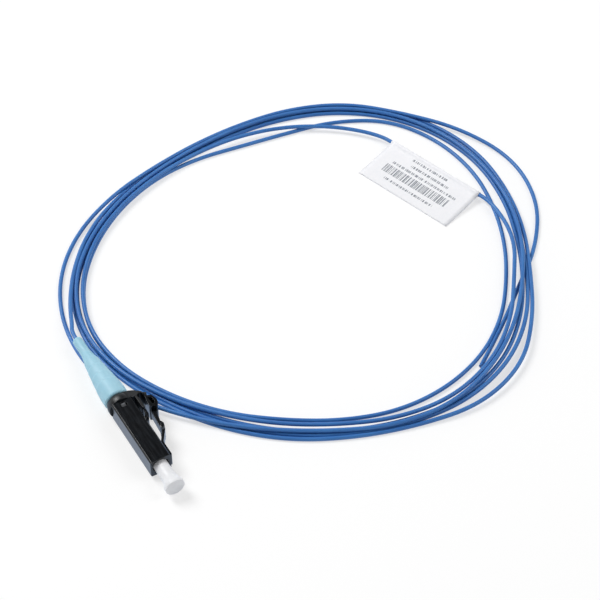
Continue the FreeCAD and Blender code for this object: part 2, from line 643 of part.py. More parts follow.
def flag_label():
    "Paper flag: a strip folded round the cord, its two layers glued face to face and lying to the table."
    bore = CORD_D / 2 + SLIDE
    fold = bore + PAPER
    start, end = label_run()
    free = LABEL_W - fold
    edge_down = PAPER + 0.05 - start.z
    flat_at = 1.9
    half_way = ((flat_at + free) / 2, edge_down * 0.46)
    leaf = Part.Face(outline((0, fold), (flat_at, -0.02),
                             ((half_way[0], half_way[1] + PAPER), (free, edge_down + PAPER)),
                             (free, edge_down - PAPER),
                             ((half_way[0], half_way[1] - PAPER), (flat_at, -0.02 - 2 * PAPER)), (0, -fold)))
    inside = Part.Face(outline((0, bore), (flat_at - 0.35, -0.02 - PAPER), (0, -bore)))
    flag = leaf.extrude(V(0, 0, LABEL_L)).fuse(Part.makeCylinder(fold, LABEL_L)).removeSplitter()
    flag = flag.cut([Part.makeCylinder(bore, LABEL_L), inside.extrude(V(0, 0, LABEL_L))])
    along = (end - start).normalize()
    inward = V(along.y, -along.x, 0)
    corner = start + along * (((end - start).Length + LABEL_L) / 2)
    turn = FreeCAD.Matrix(inward.x, 0, -along.x, corner.x, inward.y, 0, -along.y, corner.y,
                          0, 1, 0, corner.z, 0, 0, 0, 1)
    flag = flag.transformShape(turn)
    flag.translate(V(BOOT_TIP, 0, -AXIS_UP))
    return flag


PLUG_PARTS = {
    "plug_housing": plug_housing,
    "latch_lever": latch_lever,
    "rear_clip": rear_clip,
    "trigger_arm": trigger_arm,
    "ferrule": ferrule,
    "ferrule_flange": ferrule_flange,
    "glass_fibre": glass_fibre,
    "guide_tube": guide_tube,
    "coil_spring": coil_spring,
    "backbone": backbone,
    "crimp_ring": crimp_ring,
    "boot": boot,
    "dust_cap": dust_cap,
    "inner_fibre": inner_fibre,
}
CORD_PARTS = {
    "cord_coil": cord_coil,
    "flag_label": flag_label,
}

solids = {name: make() for name, make in {**PLUG_PARTS, **CORD_PARTS}.items()}
box = FreeCAD.BoundBox()
for name in PLUG_PARTS:
    box.add(solids[name].optimalBoundingBox(False, False))
move = V(-(box.XMin + box.XMax) / 2, -(box.YMin + box.YMax) / 2, -box.ZMin)
print("moved by %.4f %.4f %.4f" % tuple(move))
print("plug measures %.3f %.3f %.3f" % (box.XLength, box.YLength, box.ZLength))

os.makedirs("parts", exist_ok=True)
for name, shape in solids.items():
    shape.translate(move)
    if not shape.isValid() or len(shape.Solids) != 1:
        print("fault in", name, shape.isValid(), len(shape.Solids))
    shape.exportStep("parts/" + name + ".step")
    print("%-15s volume %9.3f faces %d" % (name, shape.Volume, len(shape.Faces)))
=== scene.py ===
# A small fibre optic plug with its dust cap on, lying on its side, and two metres of thin blue cord that
# leave its boot and lie in a loose coil, with a folded paper flag on one turn.
from math import cos, pi, radians, sin

import bmesh
import bpy
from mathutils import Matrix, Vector


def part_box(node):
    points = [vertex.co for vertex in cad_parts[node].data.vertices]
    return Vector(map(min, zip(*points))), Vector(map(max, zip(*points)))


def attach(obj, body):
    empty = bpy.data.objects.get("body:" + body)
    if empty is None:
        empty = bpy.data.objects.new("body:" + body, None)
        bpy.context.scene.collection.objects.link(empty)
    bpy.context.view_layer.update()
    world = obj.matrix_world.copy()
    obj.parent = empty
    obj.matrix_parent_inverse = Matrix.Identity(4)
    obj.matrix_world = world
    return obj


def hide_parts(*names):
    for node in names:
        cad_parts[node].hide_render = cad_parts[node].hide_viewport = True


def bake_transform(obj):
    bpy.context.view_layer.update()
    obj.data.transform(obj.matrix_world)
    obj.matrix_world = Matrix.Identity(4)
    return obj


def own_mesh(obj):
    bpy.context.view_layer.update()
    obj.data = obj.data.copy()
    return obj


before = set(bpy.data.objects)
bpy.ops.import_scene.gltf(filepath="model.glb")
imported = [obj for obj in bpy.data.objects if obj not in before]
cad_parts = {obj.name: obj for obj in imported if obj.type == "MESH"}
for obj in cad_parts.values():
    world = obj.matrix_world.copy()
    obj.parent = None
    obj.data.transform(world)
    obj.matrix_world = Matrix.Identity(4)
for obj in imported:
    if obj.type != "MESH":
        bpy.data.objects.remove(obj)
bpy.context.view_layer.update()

MM = 0.001
scene = bpy.context.scene

# Places of the plug, from the frame
boot_low, boot_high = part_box("boot")
BOOT_TIP = Vector((boot_low.x, (boot_low.y + boot_high.y) / 2, (boot_low.z + boot_high.z) / 2))
AXIS_UP = BOOT_TIP.z / MM
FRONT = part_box("plug_housing")[1].x     # front face of the plug's body

# Plug: places are from the front face, heights from the body's latch side, in millimetres
BODY_L = 17.0
BODY_W = 4.5
CLIP_L = 2.0
BOOT_BASE_D = 5.5
BOOT_TIP_D = 2.15
BOOT_L = 18.9
BOOT_RIM_L = 2.2        # straight rim at the base
BOOT_SLEEVE_L = 4.3     # straight sleeve at the tip
BOOT_STEPS = 4          # shallow steps down the taper
BOOT_STEP_H = 0.1
BOOT_STEP_L = 0.12
BOOT_TAPER = 0.8        # below 1: the taper is a little fuller than a straight one
BOOT_EDGE = (0.35, 0.3) # chamfer at the base, along and in
BOOT_END = (0.3, 0.2)   # and at the tip
BOOT_SOFT = 0.25        # rounding of its corners
BOOT_BORE_D = 3.8       # over the crimp ring
BOOT_BORE_L = 4.7
CAP_D = 3.0
CAP_IN = 2.2            # length of the cap inside the plug's mouth
CAP_OUT = 6.2           # and outside
CAP_RIM_D = 4.15
CAP_RIM_L = 1.0
CAP_FLARE_L = 2.1
CAP_BORE_D = 1.29
CAP_BORE_END = 2.8
CAP_BORE_CONE = 0.6     # length of the cone that the bore ends in
CAP_LEAD = (0.3, 0.2)   # chamfer at the tube's mouth, along and in
CAP_CURVE = 2.2         # above 1: the flare opens slowly, then fast
CAP_CURVE_STEPS = 8
CAP_SOFT = 0.18         # rounding of its corners
SPRING_FRONT = -6.41
SPRING_BACK = -12.69
SPRING_D = 2.8
SPRING_WIRE = 0.3
SPRING_TURNS = 7
SPRING_STEPS = 40       # points in each turn
SPRING_SIDES = 12       # flat sides of the wire
FIBRE_FRONT = -5.3      # where the buffer starts inside the plug
EDGE = 0.05             # rounding of the moulded edges
EDGE_FROM = 35          # an edge that turns by fewer degrees isn't rounded
FLAT = 1                # faces that turn by fewer degrees are one
MERGED = 0.001          # points of a mesh that are nearer than this are one
CORNER_MOST = 0.45      # a rounded corner of a profile takes at most this share of a side
CORD_GAP = 0.02         # round the cord, in the boot and in the flag
LEVER_ROOT = (-3.9, 0.12)
LEVER_W = 2.6
TRIGGER_ROOT = (-16.3, 2.55)
# Webs of the two living hinges: places along and above the root, with half the thickness there
LEVER_WEB = [
    (0.45, 0.335, 0.05), (0.2, 0.34, 0.07), (-0.05, 0.38, 0.08), (-0.35, 0.48, 0.07), (-0.7, 0.67, 0.06),
    (-1.1, 0.89, 0.045)]
TRIGGER_WEB = [
    (-0.29, 0, 0.02), (-0.26, 0, 0.14), (-0.16, 0, 0.25), (0, 0, 0.3), (0.16, 0, 0.26), (0.35, 0, 0.235),
    (0.6, 0, 0.23)]

# Cord and coil, in millimetres from the boot's tip
CORD_D = 0.9
CENTRE = (3.3, 54.2)    # middle of the ring
RING_R = 48.15          # mean radius of its middle line
OVAL = (1.9, -8)        # the ring is this much longer than round, and the angle of its long axis
LOBES = (1.8, 21)       # and a little three-cornered, with the angle of one corner
START = 3.5             # the ring's angle at the boot's tip, in degrees
END = 6.685             # turns travelled at the free end
PITCH = 1.0             # step between two turns that lie side by side
RISE = 0.88             # step between the two layers
OUT = 1.9               # the first turn starts this far outside the ring's middle line
TURN_BACK = 3.92        # turns travelled where the spiral reverses
REVERSE = 0.25          # turns before and after that in which it does
LAST_TURN = 6           # runs like the first turn, one step further out
# Stretches of the coil, from one ring angle and turn to another, in which the cord
LEAVES = ((322, 5), (363, 5))       # moves out past the first turn
DIVES = ((340, 5), (352, 5))        # drops on the outside, to pass under the boot
CLIMBS = ((246, 3), (6, 4))         # climbs to the upper layer
MOUNTS = ((38, 6), (54, 6))         # gets onto its neighbour
GETS_OFF = ((156, 6), (170, 6))     # and off it again
FALLS = ((5, 0), (30, 0))           # comes down from the boot to the upper layer
SETTLES = ((44, 0), (62, 0))        # and then to the table
INNER_LOOP = ((150, 3), (290, 3))   # passes inside the last turn
UNDER_FROM = (186, 6)               # ring angle and turn where the last turn runs in under the pile
OVER_LAST = ((182, 208), (246, 276))    # ring angles between which the pile lifts over it, and sinks again
CROSS_RISE = 1.0        # by this much
MARGIN = 0.02           # turns kept free beside the labelled run, and before the last turn runs in
STEP = 15               # degrees between the cord's control points
STEP_LEAST = 0.6        # share of such a step that is left, at least, after the bend out of the boot
RUN_POINTS = (-0.12, 0.12, 0.5, 0.88, 1.12)     # control points of the labelled run, as shares of it
EXIT_RUN = 2.4          # straight run out of the boot
FIRST = (8.5, 13, 19, 27, 37)   # ring angles of the control points where the cord bends out of the boot
# Where the whole ring bulges: middle angle, half width in degrees, millimetres outward
BULGES = [(300, 80, 0.9), (75, 70, -0.6), (112, 100, -1.0)]
# Where single turns fan out of the pile or draw in: turn, middle angle, half width, millimetres outward.
# The list was begun by a least-squares fit to radii read along the photographed strands, and then changed
# and added to.
FANS = [
    (0, -12, 48, 5.5), (0, 0, 86, -2.9), (0, 32, 18, 0.5), (0, 60, 22, 0.15), (0, 158, 30, 0.3),
    (0, 193, 33, -0.9), (0, 212, 24, -0.5), (0, 222, 18, -0.3), (0, 250, 35, 3.9), (0, 278, 28, -0.7),
    (0, 358, 30, 0.25), (1, -20, 26, -0.6), (1, 27, 28, 0.5), (1, 38, 36, -1.15), (1, 60, 22, 0.15),
    (1, 198, 34, -0.9), (1, 212, 24, -0.6), (1, 243, 44, 1.4), (1, 254, 30, 0.7), (1, 290, 26, -0.25),
    (1, 358, 30, 0.25), (2, -20, 26, -0.5), (2, 26, 28, 0.6), (2, 36, 30, -1.1), (2, 60, 22, 0.15),
    (2, 197, 30, -0.8), (2, 212, 24, -0.6), (2, 240, 48, 0.8), (2, 254, 30, 1.3), (2, 290, 26, -0.15),
    (3, -20, 26, -0.3), (3, 12, 16, 0.3), (3, 34, 30, -0.95), (3, 64, 20, 0.2), (3, 109, 39, -4.1),
    (3, 145, 22, 0.5), (3, 168, 22, 0.45), (3, 188, 66, -2.1), (3, 215, 20, -0.35), (3, 255, 93, -1.9),
    (3, 304, 28, -0.85), (3, 362, 32, 1.05), (4, 76, 33, 0.6), (4, 108, 40, -0.35), (4, 161, 73, -7.9),
    (4, 194, 25, 3.4), (4, 222, 34, -1.0), (4, 238, 36, 0.38), (4, 262, 32, 0.8), (4, 288, 26, -0.5),
    (4, 307, 42, -0.9), (5, 5, 38, 1.4), (5, 100, 87, 1.1), (5, 222, 40, -0.8), (5, 236, 22, 0.35),
    (5, 266, 34, 1.1), (5, 300, 35, -0.7), (6, -14, 52, 1.6), (6, 8, 25, -0.2), (6, 30, 34, 0.4),
    (6, 62, 28, -0.75), (6, 96, 60, -1.5), (6, 150, 30, -1.9), (6, 178, 38, 4.7), (6, 221, 28, -2.0),
    (6, 242, 44, -4.75)]
LABEL_FROM = 146.5      # ring angles between which the labelled turn runs straight
LABEL_TO = 183.5

# Paper flag
LABEL_L = 25.4
LABEL_W = 12.2
PAPER = 0.12
PAPER_BUILT = 0.9       # share of that thickness that is built, so that the two leaves stay apart
FOLD_END = 0.35         # radians above the level where the round of the fold ends
MEET = 1.2              # from the cord's middle to where the leaves lie together
DROOP = 1.6             # above 1: the leaves come down to the table fast, then level out
FOLD_STEPS = 8
LEAF_STEPS = 16
LABEL_STEPS = 24        # along the cord
# Print on the flag, as shares of a leaf: from and to across it, then along it. Rows of short dashes, and
# one of upright bars.
ROWS = [
    (0.16, 0.21, 0.29, 0.68), (0.285, 0.335, 0.32, 0.74), (0.405, 0.455, 0.16, 0.88),
    (0.775, 0.825, 0.2, 0.76)]
BARS = (0.505, 0.69, 0.13, 0.84)
DASH = 0.36             # millimetres, about, of a dash or its gap
BAR = 0.3
INKED = 0.5             # a mark stands where the noise is above this
SEEDS_APART = 17.3

# Camera, as the photograph was taken
VIEW_TARGET = Vector((-10.57, 45.225, 0)) * MM
VIEW_AZIMUTH = 59.85
VIEW_ELEVATION = 47.9
VIEW_DISTANCE = 427.5 * MM
FOCAL = 120
SENSOR = 36

# Studio
# Lamps: name, azimuth, elevation, watts, metres across
LAMPS = [("key", 300, 52, 6.2, 0.5), ("fill", 150, 48, 2.4, 0.6)]
LAMP_AWAY = 0.9
WALL_TOP = 0.25         # sines of the elevations between which the pale walls fade to the dim ceiling
CEILING_FROM = 0.6
CEILING = 0.1
MIRRORED = (0.72, 0.9, 1.2)     # the floor's glow as glossy faces mirror it: a little cooler than white, a painted cool reflection that gives the black plastic a faint blue sheen
FLOOR_HALF = 2.0        # metres
FLOOR_LIGHT = 0.8       # grey of the floor, for the light that it throws back
FLOOR_SEEN = 0.42       # and where it is seen, which its own glow brings up to white
GLOW = (0.6, 1.0)       # that glow, near the object and far from it
GLOW_AWAY = (0.2, 0.7)  # metres from the origin between which it grows

# The values of a noise lie mostly between these; then of two noises multiplied, and of the long streaks
NOISE_SPAN = (0.3, 0.7)
PRODUCT_SPAN = (0.15, 0.42)
STREAK_SPAN = (0.3, 0.75)


def colour(code):
    "A colour written as sRGB hex, as the linear values that a socket takes."
    parts = [int(code[k:k + 2], 16) / 255 for k in (1, 3, 5)]
    return tuple(c / 12.92 if c <= 0.04045 else ((c + 0.055) / 1.055) ** 2.4 for c in parts) + (1.0,)


def grey(level):
    "A grey, or a level, as the linear values that a socket takes."
    return level, level, level, 1


def add(tree, kind, settings=None, inputs=None):
    "Adds a node, with its settings, and its inputs as values or as sockets to link from."
    made = tree.nodes.new(kind)
    for name, value in (settings or {}).items():
        setattr(made, name, value)
    for name, value in (inputs or {}).items():
        if isinstance(value, bpy.types.NodeSocket):
            tree.links.new(value, made.inputs[name])
        else:
            made.inputs[name].default_value = value
    return made


def new_material(name, inputs):
    "A material with one principled shader, and the tree and shader to add to."
    material = bpy.data.materials.new(name)
    material.use_nodes = True
    tree = material.node_tree
    tree.nodes.clear()
    shader = add(tree, "ShaderNodeBsdfPrincipled", inputs=inputs)
    add(tree, "ShaderNodeOutputMaterial", inputs={"Surface": shader.outputs[0]})
    return material, tree, shader


def grain(tree, size, detail=4.0, stretch=(1, 1, 1)):
    "Noise on the object's own coordinates, with spots of a size in millimetres."
    place = add(tree, "ShaderNodeTexCoord").outputs["Object"]
    if stretch != (1, 1, 1):
        place = add(tree, "ShaderNodeMapping", inputs={"Vector": place, "Scale": stretch}).outputs[0]
    spots = add(tree, "ShaderNodeTexNoise", inputs={
        "Vector": place, "Scale": 1 / (size * MM), "Detail": detail})
    return spots.outputs[0]


def ramp(tree, value, first, second, span=NOISE_SPAN):
    "Turns a value that runs over a span into a colour, or a level, between two."
    made = add(tree, "ShaderNodeValToRGB", inputs={"Fac": value})
    for element, position, code in zip(made.color_ramp.elements, span, (first, second)):
        element.position = position
        element.color = colour(code) if isinstance(code, str) else grey(code)
    return made.outputs[0]


def bumped(tree, shader, height, depth):
    "Raises the shader's surface by so many millimetres."
    # the real grains are a few hundredths of a millimetre, too fine to show, so they are drawn coarser
    bump = add(tree, "ShaderNodeBump", inputs={"Height": height, "Distance": depth * MM})
    tree.links.new(bump.outputs[0], shader.inputs["Normal"])


def glass_filled_black(name, smooth, dull):
    "Black glass-filled polyester, moulded: deep black, with a faint drag along it, and its tool's gloss."
    material, tree, shader = new_material(name, {"IOR": 1.5})
    streaks = grain(tree, 0.45, stretch=(0.1, 1, 1))
    cloud = grain(tree, 2.5, 2.0)
    tone = add(tree, "ShaderNodeMath", {"operation": "MULTIPLY"}, {0: streaks, 1: cloud}).outputs[0]
    tree.links.new(ramp(tree, tone, "#0A0C0F", "#15191E", PRODUCT_SPAN), shader.inputs["Base Color"])
    tree.links.new(ramp(tree, streaks, smooth, dull, STREAK_SPAN), shader.inputs["Roughness"])
    bumped(tree, shader, grain(tree, 0.09), 0.004)
    return material


def soft_aqua():
    "Aqua thermoplastic rubber, moulded: satin and slightly clouded, and a little light passes through it."
    material, tree, shader = new_material("soft_aqua_rubber", {
        "IOR": 1.47, "Subsurface Weight": 0.15, "Subsurface Radius": (1, 1, 1),
        "Subsurface Scale": 0.5 * MM})
    tone = grain(tree, 5.0, 2.0)
    tree.links.new(ramp(tree, tone, "#97C8DB", "#A6D1E2"), shader.inputs["Base Color"])
    tree.links.new(ramp(tree, grain(tree, 0.8), 0.4, 0.54), shader.inputs["Roughness"])
    bumped(tree, shader, grain(tree, 0.25), 0.004)
    return material


def milky_cap():
    "White low-density polyethylene, moulded: waxy, and a little light passes through it."
    material, tree, shader = new_material("milky_polyethylene", {
        "IOR": 1.51, "Subsurface Weight": 0.3, "Subsurface Radius": (1, 1, 1),
        "Subsurface Scale": 0.6 * MM})
    tree.links.new(ramp(tree, grain(tree, 3.0), "#E9EAED", "#F2F3F5"), shader.inputs["Base Color"])
    tree.links.new(ramp(tree, grain(tree, 0.5), 0.36, 0.5), shader.inputs["Roughness"])
    bumped(tree, shader, grain(tree, 0.3), 0.004)
    return material


def plain(name, code, second, roughness, metallic=0.0, ior=1.5, size=0.8):
    "A part inside the plug: two near tones and a fine machined or moulded grain."
    inputs = {"Metallic": metallic} if metallic else {"IOR": ior}
    material, tree, shader = new_material(name, inputs)
    tone = grain(tree, size)
    tree.links.new(ramp(tree, tone, code, second), shader.inputs["Base Color"])
    tree.links.new(ramp(tree, tone, roughness, roughness + 0.12), shader.inputs["Roughness"])
    bumped(tree, shader, grain(tree, 0.12), 0.002)
    return material


def jacket_blue():
    "Blue thermoplastic buffer, extruded over the glass: smooth, with slow changes of tone along it."
    material, tree, shader = new_material("extruded_blue_buffer", {"IOR": 1.48})
    tone = grain(tree, 7.0, 3.0)
    tree.links.new(ramp(tree, tone, "#356FB6", "#3F7CC1"), shader.inputs["Base Color"])
    tree.links.new(ramp(tree, grain(tree, 1.5), 0.34, 0.46), shader.inputs["Roughness"])
    bumped(tree, shader, grain(tree, 0.4), 0.004)
    return material


def between(tree, value, low, high):
    "1 where a value lies between two, and 0 elsewhere."
    above = add(tree, "ShaderNodeMath", {"operation": "GREATER_THAN"}, {0: value, 1: low})
    below = add(tree, "ShaderNodeMath", {"operation": "LESS_THAN"}, {0: value, 1: high})
    both = add(tree, "ShaderNodeMath", {"operation": "MULTIPLY"}, {0: above.outputs[0], 1: below.outputs[0]})
    return both.outputs[0]


def marks(tree, u, size, seed):
    "Marks and gaps of uneven lengths along u, about a size in millimetres, as 1 and 0."
    along = add(tree, "ShaderNodeMath", {"operation": "MULTIPLY_ADD"}, {0: u, 1: LABEL_L / size, 2: seed})
    value = add(tree, "ShaderNodeTexNoise", {"noise_dimensions": "1D"}, {
        "W": along.outputs[0], "Scale": 1.0, "Detail": 1.0}).outputs[0]
    return add(tree, "ShaderNodeMath", {"operation": "GREATER_THAN"}, {0: value, 1: INKED}).outputs[0]


def printed_paper():
    "Coated label paper with thermal print: bright white, faintly glossy, with grey dashes and bars."
    material, tree, shader = new_material("coated_label_paper", {"IOR": 1.45, "Roughness": 0.5})
    split = add(tree, "ShaderNodeSeparateXYZ", inputs={0: add(tree, "ShaderNodeUVMap").outputs[0]})
    u = split.outputs["X"]
    v = split.outputs["Y"]
    ink = None
    fields = [(row, DASH) for row in ROWS] + [(BARS, BAR)]
    for count, ((low, high, left, right), size) in enumerate(fields):
        across = between(tree, v, low, high)
        along = between(tree, u, left, right)
        field = add(tree, "ShaderNodeMath", {"operation": "MULTIPLY"}, {0: across, 1: along}).outputs[0]
        spots = marks(tree, u, size, SEEDS_APART * count)
        field = add(tree, "ShaderNodeMath", {"operation": "MULTIPLY"}, {0: field, 1: spots}).outputs[0]
        if ink:
            field = add(tree, "ShaderNodeMath", {"operation": "MAXIMUM"}, {0: ink, 1: field}).outputs[0]
        ink = field
    print_grey = ramp(tree, grain(tree, 0.8), "#70767F", "#9BA0A8")
    paper = ramp(tree, grain(tree, 0.7), "#F3F4F8", "#F8F8FB")
    tone = add(tree, "ShaderNodeMix", {"data_type": "RGBA"}, {
        "Factor": ink, "A": paper, "B": print_grey}).outputs["Result"]
    tree.links.new(tone, shader.inputs["Base Color"])
    bumped(tree, shader, grain(tree, 0.35), 0.004)
    return material


def eased(value, low, high):
    "0 below low, 1 above high, and a smooth rise between them."
    share = min(max((value - low) / (high - low), 0.0), 1.0)
    return share * share * (3 - 2 * share)


def hump(away, width):
    "1 in the middle, and down to 0 a width away on each side."
    return 0.5 + 0.5 * cos(pi * min(abs(away) / width, 1))


def turns_at(angle, turn):
    "Turns travelled where the coil passes an angle for the nth time."
    return turn + (angle - START) / 360


def passed(turns, stretch):
    "0 before a stretch of the coil, 1 after it, and a smooth rise along it."
    start, end = stretch
    return eased(turns, turns_at(*start), turns_at(*end))


def ring_radius(angle):
    "Radius of the ring's middle line, which is not quite round."
    radius = RING_R + OVAL[0] * cos(2 * radians(angle - OVAL[1]))
    radius += LOBES[0] * cos(3 * radians(angle - LOBES[1]))
    for middle, width, outward in BULGES:
        radius += outward * hump((angle - middle + 180) % 360 - 180, width)
    return radius


def spread(turns):
    "Distance of the cord outside the ring's middle line."
    early = TURN_BACK - REVERSE
    if turns < early:
        out = OUT - PITCH * turns
    elif turns > TURN_BACK + REVERSE:
        out = OUT + PITCH * (turns - 2 * TURN_BACK)
    else:
        share = (turns - early) / (2 * REVERSE)
        out = OUT - PITCH * early - PITCH * 2 * REVERSE * (share - share * share)
    outermost = OUT + PITCH * (LAST_TURN + 1 - turns)
    leaving = passed(turns, LEAVES)
    out = out * (1 - leaving) + outermost * leaving
    for turn, middle, width, outward in FANS:
        out += outward * hump((turns - turns_at(middle, turn)) * 360, width)
    return out


def lift(turns):
    "Height of the cord's middle line above the table."
    angle = (START + 360 * turns) % 360
    # the upper layer: from the climb to the drop, where one turn lies on its neighbour, and out of the boot
    upper = passed(turns, CLIMBS) - passed(turns, DIVES)
    upper += passed(turns, MOUNTS) - passed(turns, GETS_OFF)
    upper += 1 - passed(turns, SETTLES)
    height = CORD_D / 2 + RISE * upper
    height += (AXIS_UP - CORD_D / 2 - RISE) * (1 - passed(turns, FALLS))
    lifts, sinks = OVER_LAST
    on_last = eased(angle, *lifts) * (1 - eased(angle, *sinks))
    inner_loop = turns_at(*INNER_LOOP[0]) < turns < turns_at(*INNER_LOOP[1])
    if turns < turns_at(*UNDER_FROM) - MARGIN and not inner_loop:
        height += CROSS_RISE * on_last
    return height


def coil_point(turns, widen=1.0):
    "Point of the coil, in metres in the row frame."
    angle = START + 360 * turns
    radius = (ring_radius(angle) + spread(turns)) * widen
    x = CENTRE[0] - radius * sin(radians(angle))
    y = CENTRE[1] - radius * cos(radians(angle))
    return Vector((BOOT_TIP.x + x * MM, BOOT_TIP.y + y * MM, lift(turns) * MM))


def label_run():
    "Ends of the straight run that the paper flag is folded round."
    return coil_point(turns_at(LABEL_FROM, 4)), coil_point(turns_at(LABEL_TO, 4))


def cord_points():
    "Control points of the cord: straight out of the boot, then round the coil."
    points = [BOOT_TIP, BOOT_TIP + Vector((-EXIT_RUN * MM, 0, 0))]
    run = [turns_at(LABEL_FROM, 4), turns_at(LABEL_TO, 4)]
    count = int(END * 360 / STEP)
    places = [turns_at(angle, 0) for angle in FIRST]
    even = [END * k / count for k in range(1, count + 1)]
    places += [turns for turns in even if turns > places[-1] + STEP_LEAST * STEP / 360]
    for before, turns, after in zip([0] + places, places, places[1:] + [END]):
        if run[0] - MARGIN < turns < run[1] + MARGIN:
            if before < run[0] - MARGIN:
                start, end = label_run()
                points += [start.lerp(end, share) for share in RUN_POINTS]
            continue
        # a smooth line of this kind runs inside its control points, so they stand a little further out
        points.append(coil_point(turns, 1 / cos(pi * (after - before) / 2)))
    return points


def make_cord(material):
    "The free cord, from the boot's tip to its bare end."
    points = cord_points()
    curve = bpy.data.curves.new("cord", "CURVE")
    curve.dimensions = "3D"
    spline = curve.splines.new("NURBS")
    spline.points.add(len(points) - 1)
    for place, point in zip(spline.points, points):
        place.co = (*point, 1)
    spline.order_u = 3
    spline.use_endpoint_u = True
    spline.resolution_u = 10
    curve.bevel_depth = CORD_D / 2 * MM
    curve.bevel_resolution = 4
    curve.use_fill_caps = True
    piece = bpy.data.objects.new("cord", curve)
    scene.collection.objects.link(piece)
    curve.materials.append(material)
    return piece


def direction(azimuth, elevation):
    "From the object towards a camera or a lamp."
    a = radians(azimuth)
    e = radians(elevation)
    return Vector((sin(a) * cos(e), -cos(a) * cos(e), sin(e)))


def make_stage():
    "Pale floor, white to the camera, that keeps the object's shadow."
    mesh = bpy.data.meshes.new("floor")
    corners = [(x * FLOOR_HALF, y * FLOOR_HALF, 0) for x, y in ((-1, -1), (1, -1), (1, 1), (-1, 1))]
    mesh.from_pydata(corners, [], [(0, 1, 2, 3)])
    floor = bpy.data.objects.new("floor", mesh)
    scene.collection.objects.link(floor)
    material = bpy.data.materials.new("studio_floor")
    material.use_nodes = True
    tree = material.node_tree
    tree.nodes.clear()
    camera, seen = seen_rays(tree)
    tone = add(tree, "ShaderNodeMix", {"data_type": "RGBA"}, {
        "Factor": seen, "A": grey(FLOOR_LIGHT), "B": grey(FLOOR_SEEN)}).outputs["Result"]
    matt = add(tree, "ShaderNodeBsdfDiffuse", inputs={"Color": tone})
    # the lamps reach the floor far from the object less, so its own glow makes up for them there
    place = add(tree, "ShaderNodeTexCoord").outputs["Object"]
    away = add(tree, "ShaderNodeVectorMath", {"operation": "LENGTH"}, {0: place}).outputs["Value"]
    level = add(tree, "ShaderNodeMapRange", inputs={
        "Value": away, "From Min": GLOW_AWAY[0], "From Max": GLOW_AWAY[1],
        "To Min": GLOW[0], "To Max": GLOW[1]}).outputs[0]
    glow = add(tree, "ShaderNodeMath", {"operation": "MULTIPLY"}, {0: seen, 1: level})
    # painted reflection: in glossy and glass rays the floor glows cooler than white, which paints a faint
    # blue sheen on glossy faces
    cool = add(tree, "ShaderNodeMix", {"data_type": "RGBA"}, {
        "Factor": camera, "A": (*MIRRORED, 1), "B": grey(1)}).outputs["Result"]
    light = add(tree, "ShaderNodeEmission", inputs={"Color": cool, "Strength": glow.outputs[0]})
    both = add(tree, "ShaderNodeAddShader", inputs={0: matt.outputs[0], 1: light.outputs[0]})
    add(tree, "ShaderNodeOutputMaterial", inputs={"Surface": both.outputs[0]})
    mesh.materials.append(material)


def seen_rays(tree):
    "1 for rays from the camera, and 1 for those and the rays by way of a mirror or glass; 0 for light."
    path = add(tree, "ShaderNodeLightPath")
    mirror = add(tree, "ShaderNodeMath", {"operation": "MAXIMUM"}, {
        0: path.outputs["Is Glossy Ray"], 1: path.outputs["Is Transmission Ray"]})
    camera = path.outputs["Is Camera Ray"]
    seen = add(tree, "ShaderNodeMath", {"operation": "MAXIMUM"}, {0: camera, 1: mirror.outputs[0]})
    return camera, seen.outputs[0]


def make_light():
    "Even studio light: pale walls, a dim ceiling and two large soft lamps. The camera sees plain white."
    world = bpy.data.worlds.new("studio")
    world.use_nodes = True
    tree = world.node_tree
    tree.nodes.clear()
    way = add(tree, "ShaderNodeTexCoord").outputs["Generated"]
    up = add(tree, "ShaderNodeSeparateXYZ", inputs={0: way}).outputs["Z"]
    walls = add(tree, "ShaderNodeMapRange", inputs={
        "Value": up, "From Min": WALL_TOP, "From Max": CEILING_FROM, "To Min": 1.0, "To Max": CEILING})
    path = add(tree, "ShaderNodeLightPath")
    level = add(tree, "ShaderNodeMix", {"data_type": "FLOAT"}, {
        "Factor": path.outputs["Is Camera Ray"], "A": walls.outputs[0], "B": 1.0})
    back = add(tree, "ShaderNodeBackground", inputs={"Strength": level.outputs[0]})
    add(tree, "ShaderNodeOutputWorld", inputs={"Surface": back.outputs[0]})
    scene.world = world
    for name, azimuth, elevation, power, size in LAMPS:
        way = direction(azimuth, elevation)
        lamp = bpy.data.lights.new(name, "AREA")
        lamp.shape = "DISK"
        lamp.size = size
        lamp.energy = power
        holder = bpy.data.objects.new(name, lamp)
        holder.location = VIEW_TARGET + way * LAMP_AWAY
        holder.rotation_euler = way.to_track_quat("Z", "Y").to_euler()
        scene.collection.objects.link(holder)


def make_camera():
    "Camera at the photograph's place."
    back = direction(VIEW_AZIMUTH, VIEW_ELEVATION)
    data = bpy.data.cameras.new("camera")
    data.lens = FOCAL
    data.sensor_width = SENSOR
    camera = bpy.data.objects.new("camera", data)
    camera.location = VIEW_TARGET + back * VIEW_DISTANCE
    camera.rotation_euler = back.to_track_quat("Z", "Y").to_euler()
    scene.collection.objects.link(camera)
    scene.camera = camera


def drooped(drop, share):
    "Height of the leaves' middle, from the cord's, at a share of the way to their free edge."
    return drop * (1 - (1 - share) ** DROOP)


def label_profile():
    "The upper leaf's line across the fold, from fold to free edge, and how far its edge lies below the cord."
    fold = CORD_D / 2 + CORD_GAP + PAPER / 2
    free = LABEL_W - fold
    drop = PAPER - label_run()[0].z / MM
    points = []
    for k in range(FOLD_STEPS + 1):
        turn = pi - (pi - FOLD_END) * k / FOLD_STEPS
        points.append((fold * cos(turn), fold * sin(turn)))
    for k in range(1, LEAF_STEPS + 1):
        share = k / LEAF_STEPS
        points.append((MEET + (free - MEET) * share, PAPER / 2 + drooped(drop, share)))
    return points, drop


